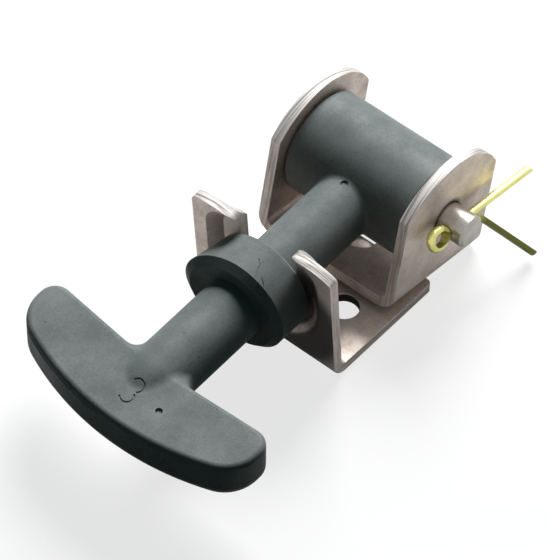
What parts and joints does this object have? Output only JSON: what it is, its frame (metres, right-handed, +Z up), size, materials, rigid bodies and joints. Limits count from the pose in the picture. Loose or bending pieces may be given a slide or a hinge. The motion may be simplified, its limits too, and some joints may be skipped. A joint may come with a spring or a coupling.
{
  "type": "rubber t draw latch",
  "caption": "Rubber T-handle draw latch: a moulded T-handle turns on a pin in a clevis bracket and its collar hooks into the open fork of a dished angle keeper.",
  "frame": {"origin": "on the keeper's underside, midway between its two screw holes", "axes": "+X from the T grip to the pivot, +Y to the pin's head, +Z up off the mounting surface"},
  "size_m": [0.0911, 0.0496, 0.0287],
  "materials": {
    "rubber": "satin moulded rubber, slate black",
    "stainless": "polished stainless sheet with bright sheared edges",
    "pin_steel": "smooth stainless",
    "zinc_wire": "yellow chromated zinc on steel wire"
  },
  "bodies": {
    "bracket": {"clevis_bracket": "stainless", "keeper_plate": "stainless"},
    "pin": {"clevis_pin": "pin_steel", "cotter_pin": "zinc_wire"},
    "handle": {"rubber_handle": "rubber"}
  },
  "joints": [
    {"name": "handle_swing", "type": "hinge", "parent": "bracket", "child": "handle", "pos_m": [0.01675, 0, 0.01699], "axis": [0, 1, 0], "range_deg": [0, 190], "deforming": ["rubber_handle"]},
    {"name": "pin_turn", "type": "hinge", "parent": "bracket", "child": "pin", "pos_m": [0.01675, 0, 0.01699], "axis": [0, 1, 0], "range_deg": [-240, 4]}
  ]
}
